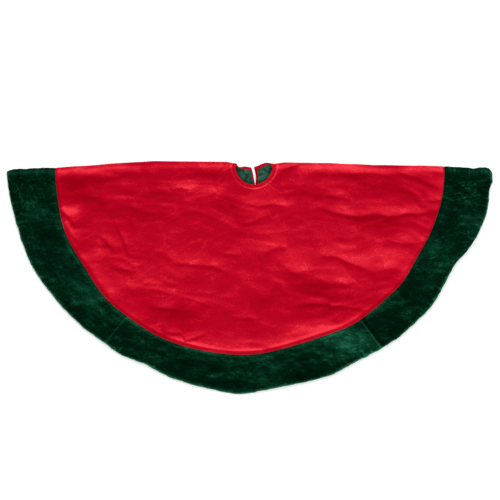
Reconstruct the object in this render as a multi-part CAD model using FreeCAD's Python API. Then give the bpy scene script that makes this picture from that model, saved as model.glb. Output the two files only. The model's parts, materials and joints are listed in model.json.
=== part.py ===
import FreeCAD, Part
import math
import os

# A round tree skirt lying folded in half: the uncut half on top, and under it
# the two quarter flaps on either side of the slit. All sizes are in mm.
#
# Flat layout: the skirt is a ring about the trunk opening's centre. The slit
# runs from the opening to the hem at 90 degrees. Angles are measured from +X.
# The fold line crosses the ring FOLD_OFFSET beyond the opening's centre, on
# the slit side, and everything beyond it is turned under.

# ---- outline of the skirt, spread flat
HEM_RADIUS = 609.6          # 48 in across
BORDER_WIDTH = 121.6        # the red circle's edge to the hem
NECK_RADIUS = 45.0          # trunk opening
FOLD_OFFSET = 20.0          # fold line to the opening's centre
BORDER_JOINS = (90.0, 162.0, 231.0, 305.0, 378.0, 450.0)  # ends of the five strips

# ---- slit
SLIT_GAP = 1.0              # along most of its length
SLIT_GAP_NECK = 10.0        # where it meets the opening
SLIT_FLARE = 45.0           # length over which it closes from one to the other

# ---- cloth thicknesses, pile included
LINING_T = 1.2
RED_T = 2.8
BORDER_T = 3.8
BAND_T = 0.8                # neck binding and slit facing
LAYER_GAP = 4.0             # air between the two folded layers

# ---- bands and fasteners
BAND_WIDTH = 12.0           # neck binding, on each face
FACING_WIDTH = 8.0          # slit facing, on the lining side
PATCH_SIZE = 20.0           # hook and loop squares
PATCH_T = 0.9
PATCH_INSET = 10.0          # slit edge to the squares
PATCH_MARGIN = 38.0         # last square's middle to the red circle's edge
PATCH_START = 53.0          # neck binding to the first square's middle

# ---- clearances
EDGE_CLEAR = 1.0            # each flat layer stops this far short of the hinge line
ROLL_CLEAR = 0.4            # roll of cloth over the fold to the flap's edge
SEAM_CLEAR = 0.2            # red circle to border, binding to facing

# ---- worked out from the sizes above
SEAM_RADIUS = HEM_RADIUS - BORDER_WIDTH
PATCH_FIRST = NECK_RADIUS + BAND_WIDTH + PATCH_START
PATCH_LAST = SEAM_RADIUS - PATCH_MARGIN
PATCH_RADII = (PATCH_FIRST, (PATCH_FIRST + PATCH_LAST) / 2, PATCH_LAST)
LAYER_T = LINING_T + BORDER_T
HEIGHT = 2 * LAYER_T + LAYER_GAP
FRONT_DEPTH = HEM_RADIUS + FOLD_OFFSET
FOLD_Y = (FRONT_DEPTH - HEIGHT / 2) / 2      # puts the origin under the middle
NECK_DEPTH_BACK = NECK_RADIUS - FOLD_OFFSET
FAR = 3 * HEM_RADIUS


class Layer:
    """One half of the folded skirt: where its ring is centred and how it is stacked."""

    def __init__(self, upper):
        self.upper = upper
        self.centre_y = FOLD_Y - FOLD_OFFSET if upper else FOLD_Y + FOLD_OFFSET
        self.angle_sign = 1 if upper else -1

    def span(self, low, high):
        """Heights above the floor of a slab given in heights above the layer's lining face."""
        if self.upper:
            base = HEIGHT - LAYER_T
            return base + low, base + high
        return LAYER_T - high, LAYER_T - low

    def ring(self, r_in, r_out, low, high):
        """A flat ring of this layer, from height low to high above its lining face."""
        z0, z1 = self.span(low, high)
        base = FreeCAD.Vector(0, self.centre_y, z0)
        outer = Part.makeCylinder(r_out, z1 - z0, base)
        inner = Part.makeCylinder(r_in, z1 - z0, base)
        return outer.cut(inner)

    def wedge(self, start, end):
        """A tall wedge covering the flat-layout angles from start to end."""
        points = [(0.0, self.centre_y)]
        for k in range(5):
            angle = math.radians(start + (end - start) * k / 4) * self.angle_sign
            points.append((FAR * math.cos(angle), self.centre_y + FAR * math.sin(angle)))
        return prism(points)

    def half(self):
        """Everything on this layer's side of the fold line."""
        y = FOLD_Y - EDGE_CLEAR
        return prism([(-FAR, y), (-FAR, -FAR), (FAR, -FAR), (FAR, y)])


def prism(points):
    """An upright prism on a list of corners, taller than the whole part."""
    low = -HEIGHT
    corners = [FreeCAD.Vector(x, y, low) for x, y in points]
    outline = Part.makePolygon(corners + [corners[0]])
    return Part.Face(outline).extrude(FreeCAD.Vector(0, 0, 3 * HEIGHT))


def flap_side(side, inset):
    """The side of the slit that a flap lies on. side is -1 for left and 1 for right."""
    flare_start = FOLD_Y - NECK_DEPTH_BACK
    flare_end = flare_start - SLIT_FLARE
    wide = SLIT_GAP_NECK / 2 + inset
    narrow = SLIT_GAP / 2 + inset
    top = FOLD_Y - EDGE_CLEAR
    return prism(
        [
            (side * wide, top),
            (side * wide, flare_start),
            (side * narrow, flare_end),
            (side * narrow, -FAR),
            (side * FAR, -FAR),
            (side * FAR, top),
        ]
    )


def binding(layer):
    """A band folded round the neck edge: a web at the edge and a flange on each face."""
    top = LINING_T + RED_T
    outside = layer.ring(NECK_RADIUS, NECK_RADIUS + BAND_WIDTH, -BAND_T, top + BAND_T)
    filling = layer.ring(NECK_RADIUS + BAND_T, FAR, 0, top)
    return outside.cut(filling)


def facing(layer, side):
    """The turned edge along the slit: a web on the cut edge and a flange on the lining."""
    reach = layer.ring(
        NECK_RADIUS + BAND_WIDTH + SEAM_CLEAR, HEM_RADIUS, -BAND_T, LINING_T + RED_T
    )
    strip = reach.common(flap_side(side, 0))
    flange = strip.common(layer.ring(NECK_RADIUS, FAR, -BAND_T, 0))
    flange = flange.cut(flap_side(side, FACING_WIDTH))
    web = strip.cut(flap_side(side, BAND_T))
    return web.fuse(flange).removeSplitter()


def patches(layer, side, low, high):
    """Three hook or loop squares in a row beside the slit."""
    z0, z1 = layer.span(low, high)
    inner = SLIT_GAP / 2 + PATCH_INSET
    x0 = inner if side > 0 else -inner - PATCH_SIZE
    squares = []
    for radius in PATCH_RADII:
        y0 = layer.centre_y - radius - PATCH_SIZE / 2
        corner = FreeCAD.Vector(x0, y0, z0)
        squares.append(Part.makeBox(PATCH_SIZE, PATCH_SIZE, z1 - z0, corner))
    return Part.makeCompound(squares)


def fold_roll(side, r_in, r_out, low, high):
    """Cloth rolled over the fold on one side, from height low to high above the lining face.

    It is a half tube about the hinge line, with a flat lip that meets the upper layer
    and a shorter one that stops before the flap.
    """
    inner = LAYER_GAP / 2 + low
    outer = LAYER_GAP / 2 + high
    x_in = math.sqrt(r_in**2 - FOLD_OFFSET**2)
    length = math.sqrt(r_out**2 - FOLD_OFFSET**2) - x_in
    x0 = x_in if side > 0 else -x_in - length
    start = FreeCAD.Vector(x0, FOLD_Y, HEIGHT / 2)
    along = FreeCAD.Vector(1, 0, 0)
    tube = Part.makeCylinder(outer, length, start, along)
    tube = tube.cut(Part.makeCylinder(inner, length, start, along))
    behind = FreeCAD.Vector(x0, FOLD_Y, -HEIGHT)
    tube = tube.common(Part.makeBox(length, HEIGHT, 3 * HEIGHT, behind))
    thick = high - low
    upper_lip = FreeCAD.Vector(x0, FOLD_Y - EDGE_CLEAR, HEIGHT / 2 + inner)
    reach = EDGE_CLEAR - ROLL_CLEAR
    lower_lip = FreeCAD.Vector(x0, FOLD_Y - reach, HEIGHT / 2 - outer)
    roll = tube.fuse(Part.makeBox(length, EDGE_CLEAR, thick, upper_lip))
    return roll.fuse(Part.makeBox(length, reach, thick, lower_lip)).removeSplitter()


def roll_nodes(side):
    """The three cloths where they roll over the fold. They bend with the flap's hinge."""
    name = "left" if side < 0 else "right"
    neck = NECK_RADIUS + BAND_T
    return {
        f"red_fold_{name}": fold_roll(side, neck, SEAM_RADIUS, LINING_T, LINING_T + RED_T),
        f"lining_fold_{name}": fold_roll(side, neck, HEM_RADIUS, 0, LINING_T),
        f"border_fold_{name}": fold_roll(
            side, SEAM_RADIUS + SEAM_CLEAR, HEM_RADIUS, LINING_T, LAYER_T
        ),
    }


def front_nodes(layer):
    """The uncut half, which lies on top."""
    half = layer.half()
    border = layer.ring(SEAM_RADIUS + SEAM_CLEAR, HEM_RADIUS, LINING_T, LAYER_T)
    border = border.common(half)
    red = layer.ring(NECK_RADIUS + BAND_T, SEAM_RADIUS, LINING_T, LINING_T + RED_T)
    lining = layer.ring(NECK_RADIUS + BAND_T, HEM_RADIUS, 0, LINING_T)
    strips = [border.common(layer.wedge(a, b)) for a, b in zip(BORDER_JOINS, BORDER_JOINS[1:])]
    return {
        "red_panel_front": red.common(half),
        "lining_front": lining.common(half),
        "neck_binding_front": binding(layer).common(half),
        "border_left_front": strips[1],
        "border_centre": strips[2],
        "border_right_front": strips[3],
    }


def flap_nodes(layer, side):
    """One of the two quarter flaps beside the slit, which lie underneath."""
    name = "left" if side < 0 else "right"
    outer_area = flap_side(side, 0)
    area = flap_side(side, BAND_T)
    border = layer.ring(SEAM_RADIUS + SEAM_CLEAR, HEM_RADIUS, LINING_T, LAYER_T).common(area)
    red = layer.ring(NECK_RADIUS + BAND_T, SEAM_RADIUS, LINING_T, LINING_T + RED_T)
    lining = layer.ring(NECK_RADIUS + BAND_T, HEM_RADIUS, 0, LINING_T)
    if side < 0:
        slit_strip = layer.wedge(BORDER_JOINS[0] - 5, BORDER_JOINS[1])
        fold_strip = layer.wedge(BORDER_JOINS[1], BORDER_JOINS[2])
    else:
        slit_strip = layer.wedge(BORDER_JOINS[4], BORDER_JOINS[5] + 5)
        fold_strip = layer.wedge(BORDER_JOINS[3], BORDER_JOINS[4])
    nodes = {
        f"red_panel_back_{name}": red.common(area),
        f"lining_back_{name}": lining.common(area),
        f"neck_binding_back_{name}": binding(layer).common(outer_area),
        f"border_{name}_back": border.common(fold_strip),
        f"border_slit_{name}": border.common(slit_strip),
        f"slit_facing_{name}": facing(layer, side),
    }
    if side < 0:
        nodes["hook_patches"] = patches(layer, side, -PATCH_T, 0)
    else:
        top = LINING_T + RED_T
        nodes["loop_patches"] = patches(layer, side, top, top + PATCH_T)
    return nodes


def main():
    os.makedirs("parts", exist_ok=True)
    nodes = front_nodes(Layer(True))
    under = Layer(False)
    for side in (-1, 1):
        nodes.update(flap_nodes(under, side))
        nodes.update(roll_nodes(side))
    for name, shape in nodes.items():
        solids = shape.Solids
        if not solids or not shape.isValid():
            raise ValueError(f"{name} is not a valid solid")
        whole = solids[0] if len(solids) == 1 else Part.makeCompound(solids)
        whole.exportStep(f"parts/{name}.step")


main()
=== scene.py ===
import json
import math

import bpy
import numpy as np
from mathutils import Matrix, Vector


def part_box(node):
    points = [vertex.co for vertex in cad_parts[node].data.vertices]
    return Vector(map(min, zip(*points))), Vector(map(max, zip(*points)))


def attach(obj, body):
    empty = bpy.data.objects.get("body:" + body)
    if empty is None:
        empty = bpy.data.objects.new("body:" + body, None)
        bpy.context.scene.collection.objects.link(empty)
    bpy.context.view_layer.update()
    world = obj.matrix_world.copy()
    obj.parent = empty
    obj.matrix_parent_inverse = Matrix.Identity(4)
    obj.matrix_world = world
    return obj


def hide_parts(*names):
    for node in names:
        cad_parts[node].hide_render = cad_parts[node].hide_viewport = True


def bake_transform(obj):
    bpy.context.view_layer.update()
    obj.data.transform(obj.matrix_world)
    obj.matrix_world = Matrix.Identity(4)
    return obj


# A velvet tree skirt lying folded in half on a pale floor.
#
# Lengths are worked out in millimetres in fold coordinates: x along the fold line,
# q across it (0 on the hinge line, negative towards the curved hem) and z above the
# floor. to_world() and the factor MM turn them into metres. The upper layer is the
# half that faces up; the lower layer is two flaps, left and right of the slit.

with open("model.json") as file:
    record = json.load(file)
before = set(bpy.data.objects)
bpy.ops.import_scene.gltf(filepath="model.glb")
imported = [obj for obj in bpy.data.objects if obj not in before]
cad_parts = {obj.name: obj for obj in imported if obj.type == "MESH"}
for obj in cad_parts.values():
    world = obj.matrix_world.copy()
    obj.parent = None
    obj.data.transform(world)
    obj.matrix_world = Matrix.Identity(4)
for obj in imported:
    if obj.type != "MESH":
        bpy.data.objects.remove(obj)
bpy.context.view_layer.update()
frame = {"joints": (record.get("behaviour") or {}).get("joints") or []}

MM = 0.001
HINGE = {j["name"]: j["pos_m"] for j in frame["joints"]}["left_fold"]
AXIS_Y = HINGE[1] / MM
AXIS_Z = HINGE[2] / MM

# ---- sizes of the cut cloth, and where its layers lie
HEM_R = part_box("lining_front")[1].x / MM
SEAM_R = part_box("red_panel_front")[1].x / MM
NECK_R = 46.5               # the worn opening, a little wider than its cut
BAND = 9.0                  # width of the neck band that shows
OFFSET = 20.0               # fold line to the trunk opening's centre
FRONT_LINING_Z = 9.3        # underside of the upper layer
BACK_LINING_Z = 4.7         # upper side of the lower layer
CLOTH_Z = 11.2              # the upper layer's pile side is never lower than this
INNER_ROLL = 2.3            # radius of the lining inside the fold
ROLL_CUT = 22.0             # flat length of the cloth that goes round the fold
FLOOR = 0.02                # nothing goes below this
FLAP_EDGE_R = 604.0         # past this the upper layer has nothing under it
FLAP_NECK_Q = 42.0          # middle of the opening's half in the flaps, pushed up
SLIT_TO_JOIN = 72.0         # degrees from the slit to the border's first joins

# ---- closures and stitches
PATCH = 20.0                # side of a square of hook or loop tape
TAPE_T = 0.42               # thickness of the tape
TAPE_LEVEL = 1.4            # height of the pile side, pressed flat under the loop tape
STITCH_R = NECK_R + BAND - 1.8      # topstitching round the opening
STITCH_PITCH = 3.4
STITCH_THICK = 0.22         # radius of the topstitching thread

# ---- how fine the sheets are
FINE, COARSE = 3.4, 6.5     # distance between points in the upper layer and in the flaps
BORDER_FLAT = 110.0         # width of the border between its seam and the turn of its hem
LINING_STEP = 11.0
LINING_ROWS, FLAP_LINING_ROWS, FLAP_LINING_COLUMNS = 49, 72, 70

# ---- the handover from front to flap on the roll, in degrees and in heights
JOIN_PHI = 10.0

TAPES = {}
for side, node in ((-1, "hook_patches"), (1, "loop_patches")):
    low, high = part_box(node)
    top, bottom = high.y / MM - AXIS_Y - PATCH / 2, low.y / MM - AXIS_Y + PATCH / 2
    TAPES[side] = [(low.x + high.x) / 2 / MM, (top, (top + bottom) / 2, bottom)]

# ---- how the skirt happens to lie. The hem is tucked in and the seam shifted out by:
# (degrees round the front from the left end, mm)
HEM_TUCK = [
    (0, 1), (3, 4), (9, 10), (15, 14), (27, 18), (33, 24), (39, 29), (45, 32), (51, 38),
    (57, 38), (63, 47), (69, 42), (75, 40), (81, 38), (87, 33), (93, 41), (99, 46), (105, 46),
    (111, 45), (117, 50), (123, 47), (129, 43), (135, 42), (141, 39), (147, 44), (153, 45),
    (159, 27), (165, 14), (171, 8), (174.5, 8), (177.5, 2), (180, 2),
]
SEAM_SHIFT = [
    (0, -1), (10, -5), (20, -3), (33, -9), (45, -3), (54, -5), (63, -4), (78, -9), (90, -12),
    (105, -23), (112, -23), (121, -16), (135, -15), (141, -12), (150, -16), (159, -11), (171, -3),
    (180, 0),
]
LEFT_JOIN, RIGHT_JOIN = 51.0, 125.6     # border strips meet here in the upper half

# ---- the slit leans to the right and gapes: (q, mm)
SLIT_LEAN = [(-620, 0), (-250, 0), (-110, 4), (-48, 4.8), (-38, 3.8), (-18, 1.3), (0, -2.9)]
SLIT_HALF_GAP = [
    (-620, 0.6), (-120, 0.6), (-60, 0.8), (-50, 0.9), (-38, 2.2), (-18, 3.4), (0, 3.5),
]

# ---- the flaps' neck edges are pushed up: (share of the way from fold to slit, mm)
NECK_LIFT = {
    -1: [(0, 2), (0.2, 7), (0.34, 14), (0.61, 25), (0.85, 28), (1, 28)],
    1: [(0, 3), (0.2, 17), (0.34, 24), (0.61, 30), (0.85, 30), (1, 29)],
}
NECK_PULL = (11.0, 15.0)    # how far right of and above its place the opening lies

# ---- the fold line is this far above its place: (x, mm)
FOLD_LINE = [
    (-609, -22), (-594, -18), (-557, -16), (-504, -13), (-474, -11), (-424, -8), (-374, -4),
    (-324, 1), (-274, 4), (-74, 5), (-52, 6), (-36, 3), (-20, -2), (20, -3), (36, 0), (54, 2),
    (76, 3), (110, 1), (176, 1), (226, -1), (301, -4), (402, -6), (477, -9), (552, -12),
    (592, -14), (602, -17), (609, -24),
]

# ---- creases in the upper layer: start, middle and end (x, q), height, width
CREASES = [
    ((168, -112), (318, -139), (478, -114), 5.2, 9),
    ((190, -84), (222, -88), (256, -88), 2.4, 7),
    ((434, -84), (455, -90), (478, -90), 2.4, 7),
    ((90, -40), (230, -20), (380, -22), 4.0, 17),
    ((362, -14), (426, -34), (484, -66), 4.6, 12),
    ((-484, -24), (-392, -34), (-300, -30), 4.0, 15),
    ((-470, -118), (-450, -136), (-428, -168), 4.6, 7),
    ((-462, -150), (-446, -180), (-418, -206), 2.4, 8),
    ((-200, -70), (-168, -62), (-146, -80), 3.4, 11),
    ((-146, -90), (-110, -88), (-76, -74), 3.0, 9),
    ((-8, -104), (36, -110), (92, -104), 2.6, 8),
    ((-30, -160), (10, -150), (52, -136), 2.6, 9),
    ((-372, -188), (-350, -206), (-324, -232), 2.6, 6),
    ((-336, -150), (-312, -198), (-300, -246), 2.2, 7),
    ((-344, -262), (-316, -274), (-284, -280), 2.8, 8),
    ((-190, -256), (-120, -264), (-50, -286), 3.2, 8),
    ((30, -252), (62, -222), (92, -212), 3.0, 10),
    ((-60, -230), (-40, -238), (-16, -232), 2.0, 8),
    ((180, -232), (240, -258), (306, -286), 3.6, 10),
    ((172, -296), (222, -318), (262, -304), 4.0, 11),
    ((90, -270), (160, -296), (240, -292), 3.0, 22),
    ((270, -286), (340, -276), (400, -240), 3.0, 14),
    ((80, -376), (190, -366), (302, -384), 4.4, 9),
    ((-64, -414), (-12, -404), (16, -412), 2.8, 8),
    ((-18, -432), (14, -428), (44, -418), 2.4, 8),
    ((-252, -368), (-214, -378), (-172, -378), 3.0, 9),
    ((-160, -462), (-140, -456), (-110, -442), 2.6, 5),
    ((-210, -446), (-190, -440), (-160, -440), 2.4, 6),
    ((-430, -240), (-386, -286), (-330, -360), 2.2, 11),
    ((-300, -340), (-250, -330), (-180, -344), 2.6, 20),
    ((62, -50), (80, -20), (122, -6), 5.5, 6),
    ((-64, -52), (-56, -26), (-40, -8), 4.4, 5),
    ((-84, -44), (-74, -18), (-60, -2), 3.6, 6),
    ((-340, -90), (-260, -120), (-180, -130), 2.0, 22),
    ((110, -190), (190, -196), (300, -180), 2.0, 14),
    ((330, -196), (390, -206), (440, -198), 2.4, 11),
]

# ---- painted shade (amount below 0) or painted highlight (amount above 0) on the velvet: middle x, q, reach in x, q, amount
VELVET_PAINTED_LIGHT_PATCHES = [
    (-425, -58, 75, 40, -0.24), (-403, -215, 36, 36, -0.16), (-275, -100, 100, 48, -0.12),
    (-32, -96, 44, 26, -0.16), (102, -72, 55, 22, -0.14), (350, -68, 95, 28, -0.20),
    (320, -156, 140, 15, -0.16), (-190, -402, 80, 32, -0.22), (28, -366, 50, 28, -0.12),
    (215, -350, 120, 16, -0.22), (150, -402, 105, 11, -0.14), (185, -262, 60, 16, -0.10),
    (-425, -20, 80, 13, 0.16), (-442, -138, 20, 34, 0.20), (-172, -72, 30, 18, 0.28),
    (-106, -84, 28, 11, 0.16), (55, -94, 50, 11, 0.16), (150, -28, 70, 20, 0.14),
    (45, -192, 95, 48, 0.12), (225, -210, 90, 34, 0.12), (123, -266, 44, 26, 0.18),
    (226, -308, 44, 20, 0.20), (330, -262, 80, 44, 0.12), (-120, -290, 60, 28, 0.12),
    (-300, -318, 80, 38, 0.12), (190, -432, 90, 18, 0.14),
]
# ---- the same for the border, where a patch ends at the right-hand join
BORDER_PAINTED_LIGHT_PATCHES = [
    (262, -474, 66, 42, 0.36), (545, -150, 28, 56, 0.20), (508, -250, 26, 30, 0.16),
    (455, -318, 36, 34, 0.12), (43, -552, 46, 34, 0.16), (-400, -352, 44, 40, 0.10),
    (-550, -120, 40, 50, 0.10), (-470, -270, 30, 30, 0.08), (-110, -522, 95, 22, -0.12),
    (128, -545, 52, 22, -0.12), (350, -440, 46, 36, -0.14), (512, -74, 18, 60, -0.12),
    (-590, -60, 16, 60, -0.10), (-500, -200, 24, 40, -0.08), (400, -330, 18, 50, -0.08),
]


# ======== small maths
def smooth(low, high, x):
    """0 below low, 1 above high, with a soft turn between."""
    t = np.clip((x - low) / (high - low), 0.0, 1.0)
    return t * t * (3 - 2 * t)


def through(points, x):
    """A smooth curve through a short list of (x, y) points."""
    px, py = np.array(points, float).T
    slope = np.gradient(py, px)
    x = np.clip(x, px[0], px[-1])
    k = np.clip(np.searchsorted(px, x) - 1, 0, len(px) - 2)
    h = px[k + 1] - px[k]
    t = (x - px[k]) / h
    a = (1 + 2 * t) * (1 - t) ** 2 * py[k] + t * (1 - t) ** 2 * h * slope[k]
    b = t * t * (3 - 2 * t) * py[k + 1] + t * t * (t - 1) * h * slope[k + 1]
    return a + b


def bell(distance, width):
    """1 at distance 0, fading to nothing over about twice the width."""
    return np.exp(-((distance / width) ** 2))


def lattice(ix, iy, seed):
    """The same random number from 0 to 1 for the same corner, every time."""
    n = np.sin(ix * 127.1 + iy * 311.7 + seed * 74.7) * 43758.5453
    return n - np.floor(n)


def noise(x, y, seed):
    """Smooth noise from -1 to 1, one lump per unit."""
    ix, iy = np.floor(x), np.floor(y)
    fx, fy = x - ix, y - iy
    sx = fx**3 * (fx * (fx * 6 - 15) + 10)
    sy = fy**3 * (fy * (fy * 6 - 15) + 10)
    low = lattice(ix, iy, seed) * (1 - sx) + lattice(ix + 1, iy, seed) * sx
    high = lattice(ix, iy + 1, seed) * (1 - sx) + lattice(ix + 1, iy + 1, seed) * sx
    return 2 * (low * (1 - sy) + high * sy) - 1


def fractal(x, y, octaves, seed):
    """Several sizes of noise, each turned so that its grid does not show."""
    total, weight = 0.0, 1.0
    for k in range(octaves):
        total = total + weight * noise(x, y, seed + 11 * k)
        x, y = 1.9 * (0.8 * x - 0.6 * y) + 3.1, 1.9 * (0.6 * x + 0.8 * y) - 1.7
        weight *= 0.5
    return total


def ridges(x, y, octaves, seed):
    """Thin raised lines between smooth hollows, from 0 to 1."""
    return np.clip(1 - 2.2 * np.abs(fractal(x, y, octaves, seed)), 0, 1) ** 2


def crease_lines(x, q):
    """Height of the listed creases: a soft far side and a steep near side."""
    height = np.zeros_like(x)
    count = 24
    wander_x = 7.0 * fractal(x / 60, q / 60, 2, 8)
    wander_q = 4.5 * fractal(x / 44, q / 44, 3, 5)
    for start, middle, end, tall, wide in CREASES:
        corners = start, middle, end = np.array([start, middle, end], float)
        reach = np.ptp(corners, axis=0) / 2 + 6 * wide + 16
        centre = (corners.min(axis=0) + corners.max(axis=0)) / 2
        near = (np.abs(x - centre[0]) < reach[0]) & (np.abs(q - centre[1]) < reach[1])
        if not near.any():
            continue
        nx, nq = x[near] + wander_x[near], q[near] + wander_q[near]
        best = np.full(nx.shape, 1e9)
        side, along = np.zeros_like(best), np.zeros_like(best)
        steps = np.linspace(0, 1, count + 1)
        pull = 2 * middle - (start + end) / 2
        line = [(1 - t) ** 2 * start + 2 * t * (1 - t) * pull + t * t * end for t in steps]
        for t, a, b in zip(steps, line, line[1:]):
            d = b - a
            share = np.clip(((nx - a[0]) * d[0] + (nq - a[1]) * d[1]) / (d @ d), 0, 1)
            ex, eq = nx - a[0] - share * d[0], nq - a[1] - share * d[1]
            distance = np.hypot(ex, eq)
            closer = distance < best
            best = np.where(closer, distance, best)
            side = np.where(closer, d[0] * eq - d[1] * ex, side)
            along = np.where(closer, t + share / count, along)
        up = 1.0 if end[0] >= start[0] else -1.0
        taper = np.sin(np.pi * np.clip(along, 0, 1)) ** 0.6
        width = wide * np.where(side * up > 0, 2.2, 0.75)
        ridge = np.exp(-((best / width) ** 1.6)) * taper
        height[near] += 0.86 * tall * ridge
    return height


# ======== how the cloth lies
def round_angle(x, q):
    """Degrees round the opening's centre: 0 at the left end, 90 at the bottom, 180 right."""
    angle = np.degrees(np.arctan2(-(q + OFFSET), -x))
    return np.clip(np.where(angle < -90, angle + 360, angle), 0, 180)


def fold_bow(x):
    """The fold line is not quite straight: its ends fall back towards the hem."""
    ends = smooth(470, 560, np.abs(x))
    ruffle = 2.0 * noise(x / 17, x * 0 + 0.5, 7) + 1.2 * noise(x / 8, x * 0 + 0.5, 17)
    return through(FOLD_LINE, x) + 0.7 * noise(x / 40, x * 0 + 0.5, 9) + ends * ruffle


def bowed(x, q):
    """Across the fold line, with its bow, which fades away from it."""
    return q + fold_bow(x) * np.exp(-np.abs(q) / 60)


def past_neck(x, q):
    """How far a point of the upper layer is outside the edge of the trunk opening."""
    return np.hypot(x - NECK_PULL[0], q + OFFSET - NECK_PULL[1]) - NECK_R


def neck_pull(radius):
    """Share of the opening's shift that reaches a radius."""
    return bell(radius - NECK_R, 120)


def red_height(x, q):
    """Height of the velvet's pile side in the upper layer."""
    turn = round_angle(x, q)
    inside = SEAM_R + through(SEAM_SHIFT, turn) - np.hypot(x, q + OFFSET)
    band = past_neck(x, q) - BAND

    # broad waves that run along the fold line, with smaller ones on them
    bend_x = x + 30 * fractal(x / 150, q / 150, 2, 31)
    bend_q = q + 26 * fractal(x / 170, q / 140, 2, 47) + 0.06 * x
    lumps = 1.5 * fractal(bend_x / 260, bend_q / 120, 2, 3)
    folds = 1.3 * fractal(bend_x / 150, bend_q / 52, 3, 19)
    folds = folds + 0.5 * fractal(bend_x / 60, bend_q / 22, 2, 23)

    # slanting press marks in the lower left
    slant = (0.5 * x - 0.87 * q, 0.87 * x + 0.5 * q)
    marks = 0.35 * ridges(slant[0] / 26, slant[1] / 110, 2, 29)
    marks = marks * smooth(60, -120, x) * smooth(-60, -130, q) * smooth(-400, -320, q)
    calm = 0.35 + 0.65 * smooth(0, 60, band)
    rise = 12.3 + (lumps + folds + marks + crease_lines(x, q)) * calm

    # the velvet stands up inside the border's seam, most at the bottom, and sinks into it
    puff = smooth(0, 8, inside) * np.exp(-((np.maximum(inside - 6, 0) / 26) ** 1.4))
    rise = rise + (1.4 + 2.6 * smooth(40, 78, turn) * smooth(150, 118, turn)) * puff
    rise = rise - 1.1 * bell(inside, 3) - 1.1 * bell(band, 1.4)

    # a roll and puckers beside the neck band
    uneven = 0.25 + smooth(0.35, 0.7, noise(turn / 16, turn * 0, 53)) * smooth(70, 110, turn)
    wave = np.sin(np.radians(turn) * 52 + 6 * noise(turn / 13, turn * 0, 51))
    puckers = 0.7 * uneven * (wave * np.exp(-band / 9))
    rise = rise + 2.3 * bell(band - 2.2, 1.8) + puckers * smooth(0, 4, band)
    return settle(rise + shoulder(q))


def green_height(x, q):
    """Height of the border plush's pile side in the upper layer."""
    radius = np.hypot(x, q + OFFSET)
    turn = round_angle(x, q)
    seam = SEAM_R + through(SEAM_SHIFT, turn)
    inside = radius - seam
    width = HEM_R - through(HEM_TUCK, turn) - seam
    across = np.clip(inside / width, 0, 1)
    pillow = np.sin(np.pi * np.clip(across * 0.94 + 0.03, 0, 1)) ** 0.6

    # lumps along the strip, small folds at the hem, and crushed ends at the fold line
    arc = SEAM_R * np.radians(turn)
    bend_a = arc + 16 * fractal(arc / 60, inside / 60, 2, 53)
    bend_i = inside + 14 * fractal(arc / 70, inside / 50, 2, 57)
    crumple = 1.5 * fractal(bend_a / 80, bend_i / 60, 3, 61)
    crumple = crumple + 0.4 * fractal(arc / 20, inside / 16, 3, 67)
    gather = 0.8 * ridges(arc / 15, inside / 60, 2, 69) * bell(across - 1, 0.22)
    ends = smooth(16, 3, turn) + smooth(164, 177, turn)
    crush = 1.2 * ridges(bend_a / 22, bend_i / 15, 2, 71) * ends
    rise = 11.6 + 2.2 * pillow + (crumple + crush) * (0.3 + 0.7 * pillow) + gather

    # grooves at the seam and at the joins, with a low ridge beside each join
    rise = rise - 1.6 * bell(inside, 5)
    for join, deep in ((LEFT_JOIN, 1.4), (RIGHT_JOIN, 1.1)):
        away = radius * np.radians(turn - join)
        rise = rise - deep * bell(away, 3.0) + 0.5 * bell(away - 9, 6)
    return settle(rise + 0.6 * shoulder(q))


def shoulder(q):
    """The layer stands up a little just before it goes over the fold."""
    return 2.0 * bell(q + 20, 16) - 1.4 * smooth(-12, 4, q)


def settle(rise):
    """Keep a height between the thinnest cloth and the tallest wave, with soft limits."""
    tallest = 21.5
    rise = CLOTH_Z + np.log1p(np.exp((rise - CLOTH_Z) * 1.6)) / 1.6
    return tallest - np.log1p(np.exp((tallest - rise) * 0.9)) / 0.9


def back_height(x, q):
    """Height of the flap's pile side, which faces the floor."""
    bend_x = x + 22 * fractal(x / 120, q / 120, 2, 81)
    bend_q = q + 16 * fractal(x / 110, q / 110, 2, 83)
    press = 1.0 * fractal(bend_x / 150, bend_q / 52, 3, 87)
    inside = np.hypot(x, q - OFFSET) - SEAM_R
    rise = 1.8 + 0.8 * fractal(x / 170, q / 120, 2, 89) - press + 1.5 * bell(inside, 4.5)

    # pressed flat under the loop tape, and thin at the neck and along the slit
    centre, tape_places = TAPES[1]
    for place in tape_places:
        tape_x = centre + slit_shift(place)
        apart = np.maximum(np.abs(x - tape_x), np.abs(q - place)) - PATCH / 2
        rise = rise + (TAPE_LEVEL - rise) * smooth(14, 2, apart)
    neck = np.hypot(x - NECK_PULL[0], q - FLAP_NECK_Q) - NECK_R
    rise = rise + (np.maximum(rise, 1.9) - rise) * smooth(40, 18, neck)
    edge = np.abs(x - NECK_PULL[0] * neck_pull(OFFSET - q))
    rise = rise + (np.maximum(rise, 0.9) - rise) * smooth(24, 12, edge)
    return np.clip(rise, 0.25, 3.3)


UPPER = {0: red_height, 1: green_height}


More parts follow.
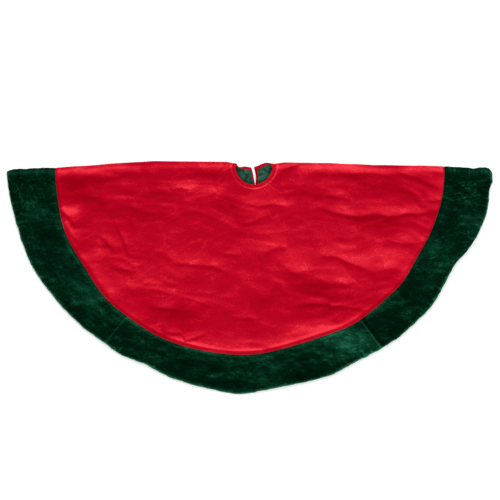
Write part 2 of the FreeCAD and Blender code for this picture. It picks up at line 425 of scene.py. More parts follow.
def tone_and_painted_light(height, x, q, facing=1):
    """Painted light on the pile: 0 painted shade, 0.4 level, 1 painted highlight, mostly from the
    slopes.
    """
    step = 1.5
    rise_q = (height(x, q + step) - height(x, q - step)) / (2 * step)
    rise_x = (height(x + step, q) - height(x - step, q)) / (2 * step)
    # painted highlight on slopes that face the fold and painted shade on slopes that face the hem
    # (the other way round in the flaps)
    slope = np.tanh(-facing * (3.4 * rise_q + 1.0 * rise_x))
    shade = 0.4 + np.where(slope > 0, 0.6, 0.4) * slope
    turn = round_angle(x, q)
    if height is red_height:
        inside = SEAM_R + through(SEAM_SHIFT, turn) - np.hypot(x, q + OFFSET)
        # near the seam the painted slope shade fades to level; a painted highlight band runs just
        # inside the seam, strongest at the bottom, and a painted highlight ring runs beside the
        # neck band
        shade = 0.4 + (shade - 0.4) * smooth(0, 6, inside)
        seam_highlight = 0.34 * smooth(58, 74, turn) * smooth(136, 118, turn) + 0.08
        band = past_neck(x, q) - BAND
        shade = shade + seam_highlight * bell(inside - 9, 8) + 0.5 * bell(band - 2.6, 2.4)
        light_patches, strength = VELVET_PAINTED_LIGHT_PATCHES, 1.25
    elif height is green_height:
        # painted highlight along the rim of the border's hem
        rim = HEM_R - through(HEM_TUCK, turn) - np.hypot(x, q + OFFSET)
        shade = shade + 0.45 * bell(rim - 1, 4)
        light_patches, strength = BORDER_PAINTED_LIGHT_PATCHES, 0.95
    else:
        return shade

    # the listed patches of painted shade and painted highlight, with wandering edges
    wx = x + 22 * fractal(x / 50, q / 50, 3, 91)
    wq = q + 12 * fractal(x / 46, q / 40, 3, 95)
    for cx, cq, rx, rq, amount in light_patches:
        patch = np.exp(-(((wx - cx) / rx) ** 2) - ((wq - cq) / rq) ** 2)
        if height is green_height:
            own = round_angle(cx, cq)
            patch = patch * ((turn < RIGHT_JOIN) == (own < RIGHT_JOIN))
        shade = shade + strength * amount * patch
    return shade


def droop(x, q):
    """How far the upper layer drops where nothing is under it."""
    return 8.8 * smooth(-8, 26, np.hypot(x, q - OFFSET) - FLAP_EDGE_R)


def neck_rise(x, q):
    """The upper layer stands off the flaps round the opening."""
    return 5.5 * np.exp(-np.maximum(past_neck(x, q), 0) / 34) * smooth(0, -24, q)


def on_upper(x, q, share, proud, plush):
    """Points in the upper layer. share is 0 at its outside and 1 at its lining."""
    height = UPPER[plush]
    outside = height(x, q)
    z = outside + (FRONT_LINING_Z - outside) * share + proud * (1 - 2 * share)
    z = z - droop(x, q) + neck_rise(x, q)
    # the plush's rounded hem gets a painted highlight
    shade = tone_and_painted_light(height, x, q) + 0.45 * plush * np.sin(np.pi * share)
    return np.stack([x, bowed(x, q), z], -1), shade


def on_roll(x, phi, share, proud, plush):
    """Points where the cloth rolls over the fold, phi degrees above the hinge line."""
    q = x * 0
    c, s = np.cos(np.radians(phi)), np.sin(np.radians(phi))
    top = UPPER[plush](x, q) - droop(x, q) - AXIS_Z
    low = AXIS_Z - back_height(x, q)
    radius = np.where(s > 0, top, low) * (1 - share) + INNER_ROLL * share
    push = proud * (1 - 2 * share)
    slim = 5.0 * bell(np.maximum(np.abs(x - NECK_PULL[0]) - NECK_R, 0), 26)
    reach = (7.5 - slim + 0.8 * noise(x / 34, q + 2.5, 13)) * (1 - share) + INNER_ROLL * share
    across = fold_bow(x) + (reach + push) * c
    z = np.maximum(AXIS_Z + (radius + push) * s, FLOOR)
    shade = tone_and_painted_light(UPPER[plush], x, q) * (phi > 0) + 0.5 * (phi <= 0)
    return np.stack([x, across, z], -1), shade


def on_lower(x, q, share, proud):
    """Points in the lower layer. share is 0 at its outside and 1 at its lining."""
    outside = back_height(x, q)
    z = outside + (BACK_LINING_Z - outside) * share - proud * (1 - 2 * share)
    return np.stack([x, bowed(x, q), np.maximum(z, FLOOR)], -1), tone_and_painted_light(back_height, x, q, -1)


# ======== meshes
def to_world(points):
    return (np.asarray(points, float) + [0, AXIS_Y, 0]) * MM


def make_piece(name, points, faces, cloth, shade, material):
    """A mesh whose points carry their place in the flat cloth and their tone with painted light
    and shade.
    """
    mesh = bpy.data.meshes.new(name)
    mesh.from_pydata(to_world(points).tolist(), [], faces)
    where = mesh.attributes.new("cloth", "FLOAT_VECTOR", "POINT")
    where.data.foreach_set("vector", (cloth * MM).astype(np.float32).ravel())
    # the attribute holds the tone with painted shade and painted highlight
    pile = mesh.attributes.new("tone_and_painted_light", "FLOAT", "POINT")
    pile.data.foreach_set("value", shade.astype(np.float32).ravel())
    mesh.materials.append(material)
    mesh.shade_smooth()
    piece = bpy.data.objects.new(name, mesh)
    bpy.context.scene.collection.objects.link(piece)
    return piece


def make_grid(name, points, cut, shade, material, flip=False):
    """A sheet from rows of points. cut holds the same points on the flat cloth, in mm."""
    rows, columns = points.shape[:2]
    index = np.arange(rows * columns).reshape(rows, columns)
    corners = [index[:-1, :-1], index[:-1, 1:], index[1:, 1:], index[1:, :-1]]
    faces = np.stack(corners[::-1] if flip else corners, -1).reshape(-1, 4).tolist()
    cloth = np.concatenate([cut.reshape(-1, 2), np.zeros((rows * columns, 1))], 1)
    shade = np.broadcast_to(shade, (rows, columns))
    return make_piece(name, points.reshape(-1, 3), faces, cloth, shade, material)


def upper_angles(radius, share):
    """Angle in the upper layer, from the fold on the left (share 0) to the right (1)."""
    edge = np.arcsin(np.clip(OFFSET / radius, 0, 1))
    return np.pi - edge + share * (np.pi + 2 * edge)


def lay_rows(rows, degrees, share=None):
    """Radius, share of thickness and lift of every point in a sheet's rows."""
    radius = np.array([edge(degrees, share) for edge, _, _ in rows])
    deep, proud = (np.array([row[k] for row in rows])[:, None] for k in (1, 2))
    return radius, deep + 0 * radius, proud + 0 * radius


def roll_over(first, phis, deep, proud, plush):
    """Points, cut and shade of the rows' run over the fold, from the point where they meet it."""
    x = first[:, None] + 0 * phis
    phi = phis + 0 * x
    points, shade = on_roll(x, phi, deep[:, :1] + 0 * x, proud[:, :1] + 0 * x, plush)
    return points, np.stack([x, (90 - phi) / 180 * ROLL_CUT], -1), shade


def upper_sheet(rows, share, plush, rolls=(True, True)):
    """Points, cut and shade of a sheet in the upper layer.

    rows is a list of (radius as a function of degrees round, share of thickness, proud).
    share is the list of places round the front. rolls says whether each end
    goes on over the fold.
    """
    radius, deep, proud = lay_rows(rows, 180 * share)
    angle = upper_angles(radius, share)
    x = radius * np.cos(angle) + NECK_PULL[0] * neck_pull(radius)
    q = radius * np.sin(angle) - OFFSET
    q = q + NECK_PULL[1] * neck_pull(radius) * smooth(0, -40, q)
    points, shade = on_upper(x, q, deep, proud, plush)
    parts = [(points, np.stack([x, q], -1), shade)]
    phis = np.linspace(90, JOIN_PHI, 9)[1:]
    if rolls[0]:
        parts.insert(0, [part[:, ::-1] for part in roll_over(x[:, 0], phis, deep, proud, plush)])
    if rolls[1]:
        parts.append(roll_over(x[:, -1], phis, deep, proud, plush))
    return [np.concatenate(group, 1) for group in zip(*parts)]


def slit_edge(q, side):
    """Where an edge of the slit lies, from the middle of the opening."""
    return through(SLIT_LEAN, q) + side * through(SLIT_HALF_GAP, q)


def slit_shift(q):
    """How far the slit's line lies from its place in the cut cloth."""
    return through(SLIT_LEAN, q) + NECK_PULL[0] * neck_pull(OFFSET - q)


def lower_place(radius, share, side):
    """x and q in a flap, from the fold (share 0) to the slit (1)."""
    edge = np.arcsin(np.clip(OFFSET / radius, 0, 1))
    angle = edge + share * (np.pi / 2 - edge)
    lift = through(NECK_LIFT[side], share) * bell(radius - NECK_R, 110)
    q = OFFSET - radius * np.sin(angle) + lift
    x = side * radius * np.cos(angle) + slit_edge(q, side) * smooth(0.25, 1.0, share)
    return x + NECK_PULL[0] * neck_pull(radius), q


def lower_sheet(rows, share, side, plush, roll=True):
    """Points, cut and shade of a sheet in a flap, which may begin on the fold's roll."""
    radius, deep, proud = lay_rows(rows, share * 0 + (0.0 if side < 0 else 180.0), share)
    x, q = lower_place(radius, share, side)
    points, shade = on_lower(x, q, deep, proud)
    parts = [(points, np.stack([x, ROLL_CUT - q], -1), shade)]
    if roll:
        phis = np.concatenate([[JOIN_PHI], np.linspace(-JOIN_PHI, -90, 9)[:-1]])
        parts.insert(0, roll_over(x[:, 0], phis, deep, proud, plush))
    return [np.concatenate(group, 1) for group in zip(*parts)]


# ======== materials
class Shader:
    """A Principled material with small helpers for its node tree."""

    def __init__(self, name, **sockets):
        self.material = bpy.data.materials.new(name)
        self.material.use_nodes = True
        self.tree = self.material.node_tree
        self.main = self.tree.nodes["Principled BSDF"]
        for key, value in sockets.items():
            self.main.inputs[key.replace("_", " ")].default_value = value

    def node(self, kind, sockets=None, **values):
        made = self.tree.nodes.new(kind)
        for key, value in values.items():
            setattr(made, key, value)
        for key, value in (sockets or {}).items():
            made.inputs[key].default_value = value
        return made

    def link(self, source, target):
        self.tree.links.new(source, target)

    def attribute(self, name, output):
        return self.node("ShaderNodeAttribute", attribute_name=name).outputs[output]

    def place(self, scale, turn=0.0):
        """The flat cloth's coordinates, stretched."""
        mapping = self.node("ShaderNodeMapping", {"Scale": scale, "Rotation": (0, 0, turn)})
        self.link(self.attribute("cloth", "Vector"), mapping.inputs["Vector"])
        return mapping.outputs["Vector"]

    def noise(self, scale, detail, distortion, stretch=(1, 1, 1), turn=0.0, rough=0.5):
        made = self.node("ShaderNodeTexNoise", {
            "Scale": scale, "Detail": detail, "Roughness": rough, "Distortion": distortion,
        })
        self.link(self.place(stretch, turn), made.inputs["Vector"])
        return made.outputs["Fac"]

    def ramp(self, value, low, high, to_low=0.0, to_high=1.0):
        ends = {"From Min": low, "From Max": high, "To Min": to_low, "To Max": to_high}
        made = self.node("ShaderNodeMapRange", ends, clamp=True, interpolation_type="SMOOTHSTEP")
        self.link(value, made.inputs["Value"])
        return made.outputs["Result"]

    def maths(self, kind, a, b):
        made = self.node("ShaderNodeMath", operation=kind)
        for socket, value in zip(made.inputs, (a, b)):
            if isinstance(value, (int, float)):
                socket.default_value = value
            else:
                self.link(value, socket)
        return made.outputs[0]

    def mix(self, factor, a, b):
        made = self.node("ShaderNodeMix", data_type="RGBA")
        for socket, value in zip((made.inputs[6], made.inputs[7]), (a, b)):
            if isinstance(value, tuple):
                socket.default_value = (*value, 1)
            else:
                self.link(value, socket)
        self.link(factor, made.inputs[0])
        return made.outputs[2]

    def colour(self, value):
        self.link(value, self.main.inputs["Base Color"])

    def bump(self, height, strength, distance, before=None):
        made = self.node("ShaderNodeBump", {"Strength": strength, "Distance": distance})
        self.link(height, made.inputs["Height"])
        if before is not None:
            self.link(before, made.inputs["Normal"])
        self.link(made.outputs["Normal"], self.main.inputs["Normal"])
        return made.outputs["Normal"]


def velvet(name, shades, sheen, tint, patch, clump, contrast):
    """Short pile cloth: colour follows the attribute of tone and painted light, with smudges,
    clumps and fine pile.
    """
    m = Shader(
        name, Roughness=0.95, Sheen_Weight=sheen, Sheen_Roughness=0.42, Sheen_Tint=(*tint, 1),
        Specular_IOR_Level=0.0,
    )
    broad = m.ramp(m.noise(patch, 3, 0.5, (1, 1.6, 1)), 0.3, 0.7, -0.08, 0.08)
    smudge = m.ramp(m.noise(patch * 3.2, 8, 0.3, (1, 1.9, 1), 0.12, 0.68), 0.44, 0.72)
    grain = m.ramp(m.noise(clump, 4, 0.0, (1, 1.2, 1), 0.0, 0.8), 0.25, 0.75, -contrast, contrast)
    deep_grain = m.maths("MULTIPLY", grain, m.maths("ADD", m.maths("MULTIPLY", smudge, 1.3), 0.6))
    # tone from the painted shade and highlight attribute, plus random patches and grain
    lie = m.maths("ADD", m.attribute("tone_and_painted_light", "Fac"), broad)
    lie = m.maths("ADD", lie, m.maths("MULTIPLY", smudge, 0.24))
    lie = m.maths("ADD", lie, m.maths("SUBTRACT", deep_grain, 0.05))
    ramp = m.node("ShaderNodeValToRGB")
    stops = ramp.color_ramp.elements
    while len(stops) < len(shades):
        stops.new(0.5)
    for stop, (place, colour) in zip(stops, shades):
        stop.position, stop.color = place, (*colour, 1)
    m.link(lie, ramp.inputs["Fac"])
    m.colour(ramp.outputs["Color"])
    soft = m.bump(m.noise(clump * 0.55, 3, 0.3), 0.30, 0.0012)
    m.bump(m.noise(clump * 2.2, 3, 0.0), 0.30, 0.0004, soft)
    return m.material


def woven(name, dark, pale, threads, rough):
    """A smooth woven lining with fine threads both ways, faint creases and painted shadow from the
    attribute.
    """
    m = Shader(
        name, Roughness=rough, Sheen_Weight=0.02, Sheen_Roughness=0.5, Sheen_Tint=(0.5, 1, 0.8, 1),
        Specular_IOR_Level=0.12,
    )
    look = {"Scale": threads, "Distortion": 0.6, "Detail": 1.0}
    warp, weft = (m.node("ShaderNodeTexWave", look, bands_direction=way) for way in "XY")
    for wave in (warp, weft):
        m.link(m.place((1, 1, 1)), wave.inputs["Vector"])
    weave = m.maths("MULTIPLY", warp.outputs["Fac"], weft.outputs["Fac"])
    shade = m.ramp(m.noise(44, 4, 1.0, (1, 1.4, 1)), 0.34, 0.68)
    tone = m.maths("ADD", m.maths("MULTIPLY", shade, 0.8), m.maths("MULTIPLY", weave, 0.25))
    # darkened where the attribute holds painted shadow
    tone = m.maths("MULTIPLY", tone, m.attribute("tone_and_painted_light", "Fac"))
    m.colour(m.mix(tone, dark, pale))
    soft = m.bump(m.noise(40, 3, 0.8), 0.5, 0.002)
    m.bump(weave, 0.35, 0.0002, soft)
    return m.material


# colours picked by the tone and painted light value: 0 painted shade, about 0.42 level, 1 painted
# highlight
RED_SHADES = [
    (0.0, (0.205, 0.0, 0.0042)), (0.42, (0.318, 0.0010, 0.0105)),
    (0.72, (0.43, 0.0060, 0.0180)), (1.0, (0.60, 0.026, 0.042)),
]
GREEN_SHADES = [
    (0.0, (0.0, 0.0012, 0.0003)), (0.42, (0.0003, 0.0080, 0.0032)),
    (0.72, (0.0022, 0.0280, 0.0130)), (1.0, (0.0090, 0.085, 0.042)),
]
RED = velvet("red_velvet", RED_SHADES, 0.08, (1.0, 0.12, 0.18), 6.5, 240, 0.20)
BAND_RED = velvet("red_band", RED_SHADES, 0.08, (1.0, 0.12, 0.18), 30, 320, 0.08)
GREEN = velvet("green_plush", GREEN_SHADES, 0.03, (0.35, 1.0, 0.68), 12, 190, 0.18)
THREAD = velvet("thread", RED_SHADES, 0.05, (1.0, 0.12, 0.18), 60, 900, 0.06)
HOOK_TAPE = velvet("hook_tape", GREEN_SHADES, 0.03, (0.35, 1.0, 0.68), 60, 700, 0.08)
LOOP_TAPE = velvet("loop_tape", RED_SHADES, 0.05, (1.0, 0.12, 0.18), 60, 700, 0.12)
LINING = woven("green_lining", (0.0005, 0.008, 0.005), (0.017, 0.092, 0.056), 420, 0.8)


# ======== rows of each cloth
def seam_at(degrees, share=None):
    """Seam between velvet and border, in the upper layer."""
    return SEAM_R + through(SEAM_SHIFT, degrees)


def hem_at(degrees, share=None):
    """Hem of the upper layer."""
    ragged = 1.3 * fractal(degrees * 0.55, degrees * 0 + 0.5, 3, 93)
    return HEM_R - through(HEM_TUCK, degrees) + ragged


def lower_seam_at(degrees, share):
    """Seam of a flap: the same as the upper one at the fold, a plain circle past it."""
    return seam_at(degrees) + (SEAM_R - seam_at(degrees)) * smooth(0, 0.5, share)


def lower_hem_at(degrees, share):
    """Hem of a flap, drawn in where it would show past the hem of the upper layer."""
    least = 7.0                          # how far inside the upper hem it stays
    radius = hem_at(degrees) - 3.0 * smooth(0.05, 0.4, share)
    edge = np.arcsin(OFFSET / radius)
    angle = edge + share * (np.pi / 2 - edge)
    side = np.where(degrees > 90, 1, -1)
    for _ in range(4):
        x, q = side * radius * np.cos(angle), OFFSET - radius * np.sin(angle)
        past = np.hypot(x, q + OFFSET) - hem_at(round_angle(x, q)) + least
        radius = radius - np.maximum(past, 0) * smooth(0, 0.1, share)
    return radius


def between(inner, outer, share):
    """A radius part of the way from one edge to another."""
    def radius(degrees, place):
        a, b = (
            edge(degrees, place) if callable(edge) else edge + 0 * degrees
            for edge in (inner, outer)
        )
        return a + (b - a) * share
    return radius


def steady(value):
    """A radius that is the same all the way round."""
    return between(value, value, 0)


def shifted(edge, distance):
    """A radius that keeps a distance from an edge."""
    def radius(degrees, place):
        return edge(degrees, place) + distance
    return radius


def red_rows(seam, step):
    """From under the neck band out to the seam, and down into it."""
    count = int((SEAM_R - NECK_R) / step)
    start = NECK_R + BAND - 1.0
    rows = [(between(start, seam, t), 0.0, 0.0) for t in np.linspace(0, 1, count)[:-1]]
    return rows + [(shifted(seam, -0.6), 0.12, 0.0), (shifted(seam, 0.0), 0.4, 0.0)]


def border_rows(seam, hem, step):
    """From the seam out to the hem, round it and under."""
    turn_r = 4.0                         # width of the hem's rounded edge
    rows = [(shifted(seam, -0.1), 0.4, 0.0), (shifted(seam, 0.8), 0.1, 0.0)]
    for t in np.linspace(0.02, 1, int(BORDER_FLAT / step)):
        rows.append((between(shifted(seam, 1.0), shifted(hem, -turn_r), t), 0.0, 0.0))
    for k in range(1, 10):
        turn = math.pi * k / 9
        out, down = -turn_r + turn_r * math.sin(turn), 0.5 - 0.5 * math.cos(turn)
        rows.append((shifted(hem, out), down, 0.3 * k / 9))
    rows.append((shifted(hem, -9.0), 1.0, 0.4))
    rows.append((shifted(hem, -15.0), 1.0, 0.3))
    return rows


def lining_rows(hem, count):
    """From under the neck band out to the turned hem, closer together near the opening."""
    start, end = NECK_R + BAND - 3.0, shifted(hem, -8.0)
    return [(between(start, end, t), 1.0, 0.0) for t in np.linspace(0, 1, count) ** 1.4]


# ---- the neck band, from the pile side over the opening's edge to the lining side:
# distance from the edge, share of the cloth's thickness, proud
BAND_PROFILE = [
    (9.2, 0.0, -0.2), (8.6, 0.0, 0.5), (7.5, 0.0, 0.25), (6.2, 0.0, 0.9), (4.2, 0.0, 1.3),
    (2.2, 0.0, 1.1), (0.7, 0.05, 0.6), (0.0, 0.25, 0.2), (-0.3, 0.5, 0.0), (0.0, 0.75, 0.2),
    (0.8, 0.95, 0.5), (2.6, 1.0, 0.9), (5.4, 1.0, 0.8), (7.8, 1.0, 0.6), (9.0, 1.0, -0.2),
]


def band_rows():
    return [(steady(NECK_R + out), deep, proud) for out, deep, proud in BAND_PROFILE]


def front_places(start, end, step):
    """Shares of the way round the front, about step mm apart at the seam."""
    count = max(4, int(abs(end - start) * math.pi * SEAM_R / step))
    return np.linspace(start, end, count)


def flap_places(start, end, radius):
    """Shares of the way from the fold to the slit, evenly spaced at that radius."""
    count = max(6, int((end - start) * 0.5 * math.pi * radius / COARSE))
    return np.linspace(start, end, count)


# ======== the pieces
def declare(cut, nodes):
    """Work out a broad sheet's flat box, which is left unused, and hide the parts that it
    replaces.
    """
    flat = np.ptp(cut.reshape(-1, 2), axis=0) * MM
    flat = tuple(flat.tolist())
    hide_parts(*nodes)


def declare_strip(nodes):
    """Hide the parts that a narrow strip replaces."""
    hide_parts(*nodes)


def bend(piece):
    """A piece that spans the fold, front above the hinge line and flap below it: its transform is
    baked into its points.
    """
    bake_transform(piece)


def build_upper():
    """The uncut half and the cloth's roll over the fold, down to the handover."""
    share = front_places(0, 1, FINE)
    points, cut, shade = upper_sheet(red_rows(seam_at, FINE), share, 0)
    red = make_grid("front_velvet", points, cut, shade, RED)
    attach(red, "front")
    declare(cut,
            ["red_panel_front", "red_fold_left", "red_fold_right"])

    left, right = LEFT_JOIN / 180, RIGHT_JOIN / 180
    rows = border_rows(seam_at, hem_at, FINE)
    for name, start, end, rolls, nodes in (
        ("left", 0, left, (True, False), ["border_left_front", "border_fold_left"]),
        ("centre", left, right, (False, False), ["border_centre"]),
        ("right", right, 1, (False, True), ["border_right_front", "border_fold_right"]),
    ):
        points, cut, shade = upper_sheet(rows, front_places(start, end, FINE), 1, rolls)
        border = make_grid(f"front_border_{name}", points, cut, shade, GREEN)
        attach(border, "front")
        declare(cut, nodes)

    rows = lining_rows(hem_at, LINING_ROWS)
    points, cut, shade = upper_sheet(rows, front_places(0, 1, LINING_STEP), 0)
    lining = make_grid("front_lining", points, cut, np.ones_like(shade), LINING, flip=True)
    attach(lining, "front")
    declare(cut,
            ["lining_front", "lining_fold_left", "lining_fold_right"])

    points, cut, shade = upper_sheet(band_rows(), np.linspace(0, 1, 120), 0)
    band = make_grid("front_neck_band", points, cut, np.full_like(shade, 0.5), BAND_RED)
    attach(band, "front")
    declare_strip(["neck_binding_front"])

    row = [(steady(STITCH_R), 0.0, 0.45)]
    path = upper_sheet(row, np.linspace(0, 1, 400), 0, (False, False))[0][0]
    lines = stitches(path, STITCH_PITCH, 0.35)
    make_threads("front_neck_stitching", lines, STITCH_THICK, THREAD, "front")


def build_flap(name, side):
    """A quarter beside the slit, from its handover on the roll. side is -1 or 1, left or right."""
    body = f"back_{name}"
    share = flap_places(0, 1, SEAM_R)
    points, cut, shade = lower_sheet(red_rows(lower_seam_at, COARSE), share, side, 0)
    red = make_grid(f"back_velvet_{name}", points, cut, shade, RED, flip=side > 0)
    bend(red)
    declare(cut, [f"red_panel_back_{name}"])

    join = (90 - SLIT_TO_JOIN) / 90
    rows = border_rows(lower_seam_at, lower_hem_at, COARSE)
    for part, start, end, on_fold, node in (
        ("fold", 0, join, True, f"border_{name}_back"),
        ("slit", join, 1, False, f"border_slit_{name}"),
    ):
        share = flap_places(start, end, HEM_R)
        points, cut, shade = lower_sheet(rows, share, side, 1, on_fold)
        title = f"back_border_{name}_{part}"
        border = make_grid(title, points, cut, shade, GREEN, flip=side > 0)
        if on_fold:
            bend(border)
        else:
            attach(border, body)
        declare(cut, [node])

    rows = lining_rows(lower_hem_at, FLAP_LINING_ROWS)
    share = np.linspace(0, 1, FLAP_LINING_COLUMNS)
    points, cut, _ = lower_sheet(rows, share, side, 0)
    # painted shadow on the lining, darkest under the opening's edge
    shade = 1 - 0.75 * bell(past_neck(points[..., 0], points[..., 1]), 8)
    lining = make_grid(f"back_lining_{name}", points, cut, shade, LINING, flip=side < 0)
    bend(lining)
    declare(cut, [f"lining_back_{name}"])

    points, cut, shade = lower_sheet(band_rows(), np.linspace(0, 1, 40), side, 0)
    shade = np.full_like(shade, 0.5)
    band = make_grid(f"back_neck_band_{name}", points, cut, shade, BAND_RED, flip=side > 0)
    bend(band)
    declare_strip([f"neck_binding_back_{name}"])

    # the topstitching shows on the lining side, and stays clear of the fold
    row = [(steady(STITCH_R), 1.0, 0.75)]
    path = lower_sheet(row, np.linspace(0.2, 0.98, 260), side, 0, False)[0][0]
    lines, title = stitches(path, STITCH_PITCH, 0.3), f"back_neck_stitching_{name}"
    make_threads(title, lines, STITCH_THICK, THREAD, body)

    build_facing(name, side, body)
    build_tapes(side, body)


def build_facing(name, side, body):
    """The turned slit edge: a folded strip that wraps the edge of velvet and lining."""
    radius = np.linspace(NECK_R + BAND - 2, HEM_R - 9, 260)
    # the lap is narrower where it would show in the opening
    wide = 6.0 - (3.4 if side < 0 else 0.8) * smooth(120, 80, radius)
    profile = [
        (1.3, 0.0, -0.25), (0.9, 0.0, 0.25), (0.1, 0.12, 0.3), (-0.4, 0.5, 0.0),
        (0.1, 0.88, 0.3), (0.8, 1.0, 0.5), (wide * 0.5, 1.0, 0.65), (wide, 1.0, 0.45),
        (wide + 0.8, 1.0, -0.3),
    ]
    edge_x, q = lower_place(radius, np.ones_like(radius), side)
    inset, deep, proud = (np.stack([row[k] + 0 * radius for row in profile]) for k in range(3))
    x, q = edge_x + side * inset, q + 0 * inset
    points, shade = on_lower(x, q, deep, proud)
    # the whole strip is painted dark, as painted shade
    cut, shade = np.stack([x, ROLL_CUT - q], -1), np.full_like(shade, 0.12)
    title = f"slit_facing_{name}_cloth"
    piece = make_grid(title, points, cut, shade, BAND_RED, flip=side > 0)
    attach(piece, body)
    declare_strip([f"slit_facing_{name}"])


def make_threads(name, lines, thick, material, body):
    """Short bits of thread or wire, each a four-sided tube along its own line of points."""
    corners, faces = [], []
    for line in lines:
        line = np.asarray(line, float)
        ahead = np.gradient(line, axis=0)
        ahead /= np.linalg.norm(ahead, axis=1)[:, None]
        across = np.cross(ahead, np.cross(line[-1] - line[0], [0.3, 0.2, 1.0]))
        across /= np.maximum(np.linalg.norm(across, axis=1), 1e-9)[:, None]
        other = np.cross(ahead, across)
        thin = thick * np.sin(np.pi * np.linspace(0.16, 0.84, len(line)))[:, None]
        first = len(corners)
        for k in range(len(line)):
            for a, b in ((1, 0), (0, 1), (-1, 0), (0, -1)):
                corners.append(line[k] + thin[k] * (a * across[k] + b * other[k]))
        for k in range(len(line) - 1):
            at = first + 4 * k
            for c in range(4):
                beside = (c + 1) % 4
                faces.append((at + c, at + beside, at + 4 + beside, at + 4 + c))
        last = first + 4 * (len(line) - 1)
        faces.append((first + 3, first + 2, first + 1, first))
        faces.append((last, last + 1, last + 2, last + 3))
    corners = np.array(corners)
    piece = make_piece(name, corners, faces, corners, np.full(len(corners), 0.55), material)
    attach(piece, body)


def stitches(path, pitch, stand):
    """Stitch lines along a path of points: each dips into the cloth at both ends."""
    reach = np.concatenate([[0], np.cumsum(np.linalg.norm(np.diff(path, axis=0), axis=1))])
    lines = []
    for start in np.arange(pitch / 2, reach[-1] - pitch, pitch):
        at = start + np.linspace(0, 0.7 * pitch, 5)
        line = np.stack([np.interp(at, reach, path[:, k]) for k in range(3)], -1)
        line[:, 2] += stand * np.sin(np.pi * np.linspace(0, 1, 5)) - 0.3 * stand
        lines.append(line)
    return lines


def tape_tufts(x, q, level, side):
    """Hooks in rows that face each way in turn, or loops that stand every way."""
    out = -side
    arc = np.radians(np.linspace(-20, 215, 7) if side < 0 else np.linspace(-10, 190, 6))
    along = -0.42 * np.cos(arc)
    rise = 0.38 * np.sin(arc) + TAPE_T
    rise[0] = 0.2                        # its foot is inside the tape
    lines = []
    grid = np.arange(-PATCH / 2 + 2.4, PATCH / 2 - 2.2, 1.15)
    for row, dx in enumerate(grid):
        for column, dq in enumerate(grid):
            wild = 360 * lattice(row, column, q)
            turn = math.radians(180 * (row % 2) + 0.1 * wild if side < 0 else wild)
            lines.append(np.stack([
                x + dx + along * math.cos(turn), q + dq + along * math.sin(turn),
                level + out * rise,
            ], -1))
    return lines


def tape_seam(x, q, height, out):
    """Stitches round a square of tape."""
    ring = PATCH / 2 - 1.4
    corners = [(-ring, -ring), (ring, -ring), (ring, ring), (-ring, ring), (-ring, -ring)]
    lines = []
    for a, b in zip(corners, corners[1:]):
        lines += stitches(np.linspace((*a, 0), (*b, 0), 9) + [x, q, height], 2.6, out * 0.22)
    return lines


def build_tapes(side, body):
    """Squares of tape: hooks on the left flap's lining, loops on the right flap's pile side."""
    out = -side                          # hooks face up at rest, loops face down
    kind, tape = ("hook", HOOK_TAPE) if side < 0 else ("loop", LOOP_TAPE)
    level = BACK_LINING_Z if side < 0 else TAPE_LEVEL
    sink = 0.05                          # the tape's rim dips into the cloth
    centre, tape_places = TAPES[side]
    steps = np.linspace(-1, 1, 15)
    u, v = np.meshgrid(steps, steps)
    lift = TAPE_T * (1 - smooth(0.93, 1.0, np.maximum(np.abs(u), np.abs(v))))
    tufts, seams = [], []
    for number, place in enumerate(tape_places, 1):
        middle = centre + slit_shift(place)
        x, q = middle + u * PATCH / 2, place + v * PATCH / 2
        base = BACK_LINING_Z + sink if side < 0 else back_height(x, q) - sink
        points = np.stack([x, bowed(x, q), base + out * lift], -1)
        cut, shade = np.stack([x, q], -1), np.full_like(u, 0.3)
        square = make_grid(f"{kind}_tape_{number}", points, cut, shade, tape, flip=side > 0)
        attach(square, body)
        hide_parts(f"{kind}_patches")
        tufts += tape_tufts(middle, place, level, side)
        seams += tape_seam(middle, place, level + out * TAPE_T, out)
    make_threads(f"{kind}_tufts", tufts, 0.10, tape, body)
    make_threads(f"{kind}_stitching", seams, 0.16, THREAD, body)


build_upper()
build_flap("left", -1)
build_flap("right", 1)


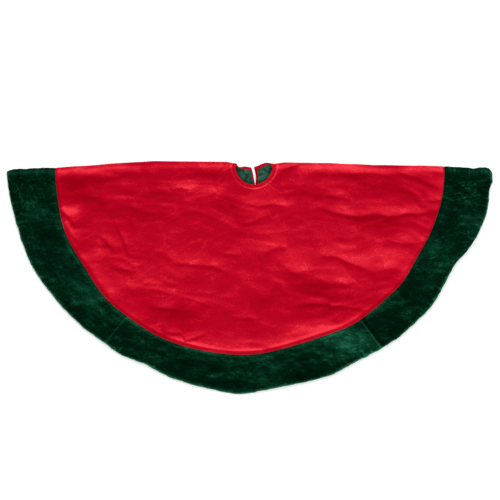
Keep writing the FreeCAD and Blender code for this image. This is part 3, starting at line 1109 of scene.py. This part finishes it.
# ======== floor, light, camera
def build_stage():
    """A plain pale floor, just under the cloth."""
    mesh = bpy.data.meshes.new("floor")
    far = 60.0
    corners = [(-far, -far, 0), (far, -far, 0), (far, far, 0), (-far, far, 0)]
    mesh.from_pydata(corners, [], [(0, 1, 2, 3)])
    floor = bpy.data.objects.new("floor", mesh)
    floor.location.z = -0.0002
    bpy.context.scene.collection.objects.link(floor)
    paint = Shader("floor_paint", Roughness=0.9, Specular_IOR_Level=0.1)
    paint.main.inputs["Base Color"].default_value = (0.93, 0.93, 0.93, 1)
    mesh.materials.append(paint.material)


def area_light(name, place, power):
    """A large soft lamp that faces the skirt."""
    light = bpy.data.lights.new(name, "AREA")
    light.shape = "SQUARE"
    light.size = 2.6
    light.energy = power
    lamp = bpy.data.objects.new(name, light)
    lamp.location = place
    towards = Vector((0, 0.05, 0)) - Vector(place)
    lamp.rotation_euler = towards.to_track_quat("-Z", "Y").to_euler()
    bpy.context.scene.collection.objects.link(lamp)


def build_light():
    """An even white room, with a lamp behind the fold and one in front."""
    world = bpy.data.worlds.new("studio")
    world.use_nodes = True
    sky = world.node_tree.nodes["Background"]
    sky.inputs["Color"].default_value = (1, 1, 1, 1)
    sky.inputs["Strength"].default_value = 1.12
    bpy.context.scene.world = world
    area_light("key", (-0.4, 2.4, 2.6), 52)
    area_light("fill", (0.8, -1.8, 2.8), 44)


def build_camera():
    """Looks from the hem's side, high above the floor and from far off."""
    elevation = math.radians(71.0)
    distance = 9.0
    view_width = 1.24218                 # metres across the picture, at the skirt
    aim = Vector((0.0012, (AXIS_Y - 224.0) * MM, 0.011))
    back = Vector((0, -math.cos(elevation), math.sin(elevation)))
    data = bpy.data.cameras.new("camera")
    data.sensor_width = 36.0
    data.lens = data.sensor_width * distance / view_width
    data.clip_end = 200
    camera = bpy.data.objects.new("camera", data)
    camera.location = aim + back * distance
    camera.rotation_euler = (-back).to_track_quat("-Z", "Y").to_euler()
    bpy.context.scene.collection.objects.link(camera)
    bpy.context.scene.camera = camera


build_stage()
build_light()
build_camera()
bpy.context.scene.view_settings.view_transform = "Standard"
